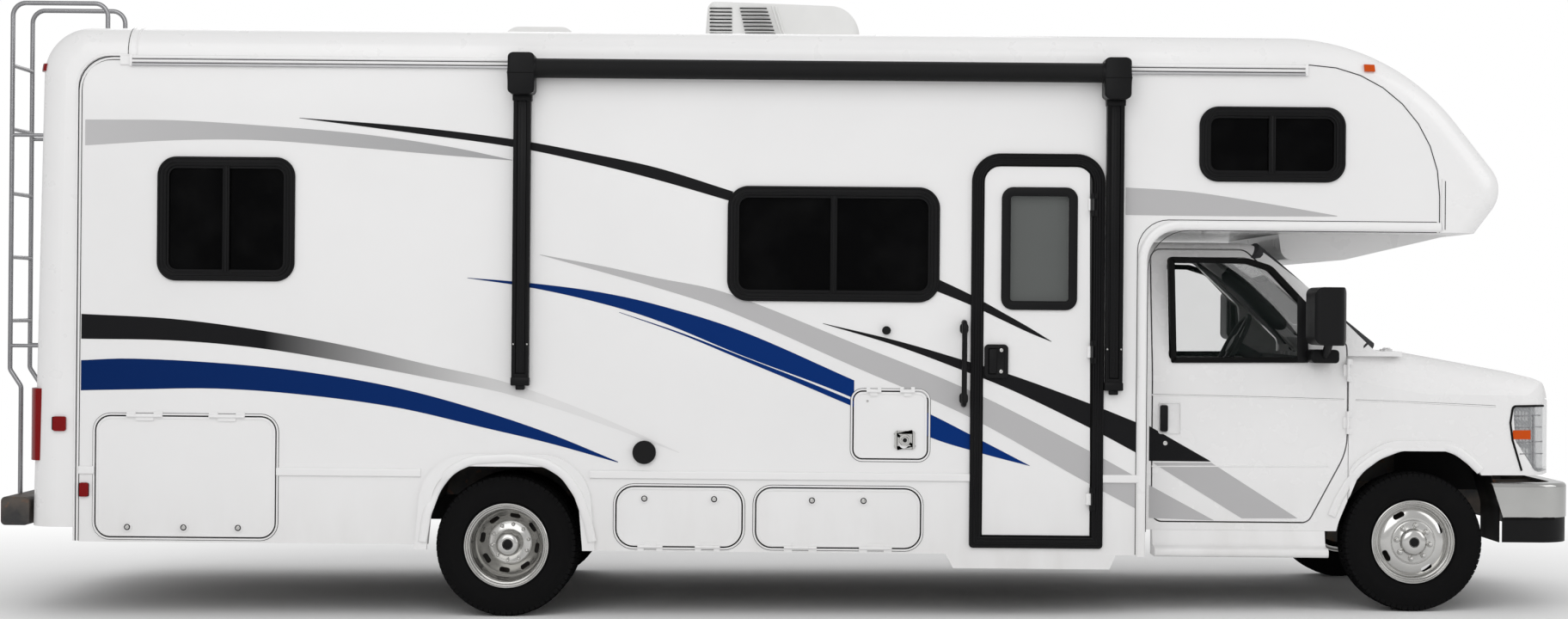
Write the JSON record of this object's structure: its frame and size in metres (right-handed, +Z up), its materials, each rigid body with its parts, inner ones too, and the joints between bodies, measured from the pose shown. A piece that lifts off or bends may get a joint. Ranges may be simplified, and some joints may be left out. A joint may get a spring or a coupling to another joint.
{
  "type": "motorhome",
  "caption": "Cab-over motorhome on a van chassis with a bunk over the cab, dual rear wheels, lockers, an awning and a rear ladder.",
  "frame": {"origin": "on the ground at the centre of the bounding box", "axes": "+X forwards to the nose, +Y to the vehicle's left, +Z up"},
  "size_m": [8.4096, 2.84, 3.3386],
  "materials": {
    "white_metal": "gloss white enamel on aluminium sheet",
    "cab_paint": "gloss white body paint",
    "gel_coat": "gloss white gel coat on glass fibre",
    "white_plastic": "moulded white",
    "black_plastic": "moulded black",
    "dark_plastic": "grained dark grey",
    "black_frame": "satin black",
    "tinted_glass": "tinted",
    "lamp_lens": "clear lens",
    "red_lens": "red lens",
    "amber_lens": "amber lens",
    "chrome_plate": "polished",
    "bright_steel": "polished stainless",
    "dark_steel": "black chassis paint",
    "cast_metal": "as cast",
    "alloy": "plain",
    "tyre_rubber": "black rubber",
    "seat_cloth": "woven",
    "awning_cloth": "black vinyl cover"
  },
  "bodies": {
    "motorhome": {"amber_lamps": "amber_lens", "awning_arms": "black_frame", "awning_roll": "awning_cloth", "body_mouldings": "white_metal", "cab_shell": "cab_paint", "cockpit": "dark_plastic", "engine_block": "cast_metal", "exhaust": "cast_metal", "frame_rails": "dark_steel", "front_axle": "dark_steel", "front_bumper": "chrome_plate", "front_fenders": "cab_paint", "fuel_tank": "dark_steel", "grille": "chrome_plate", "headlamps": "lamp_lens", "house_floor": "dark_steel", "ladder": "bright_steel", "locker_boxes": "dark_steel", "nose_cap": "gel_coat", "propeller_shaft": "dark_steel", "radiator": "alloy", "rear_axle": "cast_metal", "rear_bumper": "dark_steel", "rear_cap": "gel_coat", "red_lamps": "red_lens", "roof": "gel_coat", "roof_units": "white_plastic", "running_boards": "white_metal", "seats": "seat_cloth", "side_fittings": "black_plastic", "splash_guards": "black_plastic", "springs": "dark_steel", "wall_left": "white_metal", "wall_right": "white_metal", "window_frames": "black_frame", "window_glass": "tinted_glass", "windshield": "tinted_glass"},
    "knuckle_left": {"knuckle_left": "cast_metal"},
    "knuckle_right": {"knuckle_right": "cast_metal"},
    "front_wheel_left": {"front_wheel_left": "bright_steel", "front_tyre_left": "tyre_rubber"},
    "front_wheel_right": {"front_wheel_right": "bright_steel", "front_tyre_right": "tyre_rubber"},
    "rear_wheels_left": {"rear_wheels_left": "bright_steel", "rear_tyres_left": "tyre_rubber"},
    "rear_wheels_right": {"rear_wheels_right": "bright_steel", "rear_tyres_right": "tyre_rubber"},
    "cab_door_left": {"cab_door_left": "cab_paint", "cab_door_glass_left": "tinted_glass", "mirror_left": "black_plastic"},
    "cab_door_right": {"cab_door_right": "cab_paint", "cab_door_glass_right": "tinted_glass", "mirror_right": "black_plastic"},
    "hood": {"hood": "cab_paint"},
    "entry_door": {"entry_door": "white_metal", "entry_door_glass": "tinted_glass"},
    "trunk_door": {"trunk_door": "white_metal"},
    "rear_locker_door": {"rear_locker_door": "white_metal"},
    "front_locker_door": {"front_locker_door": "white_metal"},
    "utility_door": {"utility_door": "white_metal"}
  },
  "joints": [
    {"name": "steer_left", "type": "hinge", "parent": "motorhome", "child": "knuckle_left", "pos_m": [3.332, 0.74, 0.372], "axis": [0, 0, 1], "range_deg": [-30, 30]},
    {"name": "steer_right", "type": "hinge", "parent": "motorhome", "child": "knuckle_right", "pos_m": [3.332, -0.74, 0.372], "axis": [0, 0, 1], "range_deg": [-30, 30]},
    {"name": "spin_front_left", "type": "hinge", "parent": "knuckle_left", "child": "front_wheel_left", "pos_m": [3.332, 0.876, 0.372], "axis": [0, 1, 0], "continuous": true},
    {"name": "spin_front_right", "type": "hinge", "parent": "knuckle_right", "child": "front_wheel_right", "pos_m": [3.332, -0.876, 0.372], "axis": [0, 1, 0], "continuous": true},
    {"name": "spin_rear_left", "type": "hinge", "parent": "motorhome", "child": "rear_wheels_left", "pos_m": [-1.494, 0.9425, 0.372], "axis": [0, 1, 0], "continuous": true},
    {"name": "spin_rear_right", "type": "hinge", "parent": "motorhome", "child": "rear_wheels_right", "pos_m": [-1.494, -0.9425, 0.372], "axis": [0, 1, 0], "continuous": true},
    {"name": "open_cab_door_left", "type": "hinge", "parent": "motorhome", "child": "cab_door_left", "pos_m": [2.97497, 1.0083, 1.15103], "axis": [-0.0087, 0, -1], "range_deg": [0, 65]},
    {"name": "open_cab_door_right", "type": "hinge", "parent": "motorhome", "child": "cab_door_right", "pos_m": [2.97497, -1.0083, 1.15103], "axis": [0.0087, 0, 1], "range_deg": [0, 65]},
    {"name": "open_hood", "type": "hinge", "parent": "motorhome", "child": "hood", "pos_m": [3.27513, 0, 1.39772], "axis": [0, -1, 0], "range_deg": [0, 50]},
    {"name": "open_entry_door", "type": "hinge", "parent": "motorhome", "child": "entry_door", "pos_m": [1.57803, -1.2703, 1.39323], "axis": [0.0087, 0, 1], "range_deg": [0, 90]},
    {"name": "open_trunk_door", "type": "hinge", "parent": "motorhome", "child": "trunk_door", "pos_m": [-3.16209, -1.2583, 1.05658], "axis": [-1, 0, 0.0087], "range_deg": [0, 90]},
    {"name": "open_utility_door", "type": "hinge", "parent": "motorhome", "child": "utility_door", "pos_m": [0.52618, -1.2583, 1.1864], "axis": [-1, 0, 0.0087], "range_deg": [0, 90]},
    {"name": "open_rear_locker", "type": "hinge", "parent": "motorhome", "child": "rear_locker_door", "pos_m": [-0.58296, -1.2583, 0.37305], "axis": [1, 0, -0.0087], "range_deg": [0, 90]},
    {"name": "open_front_locker", "type": "hinge", "parent": "motorhome", "child": "front_locker_door", "pos_m": [0.24952, -1.2583, 0.36679], "axis": [1, 0, -0.0087], "range_deg": [0, 90]}
  ],
  "couplings": [
    {"joint": "steer_right", "follows": "steer_left", "ratio": 1}
  ]
}
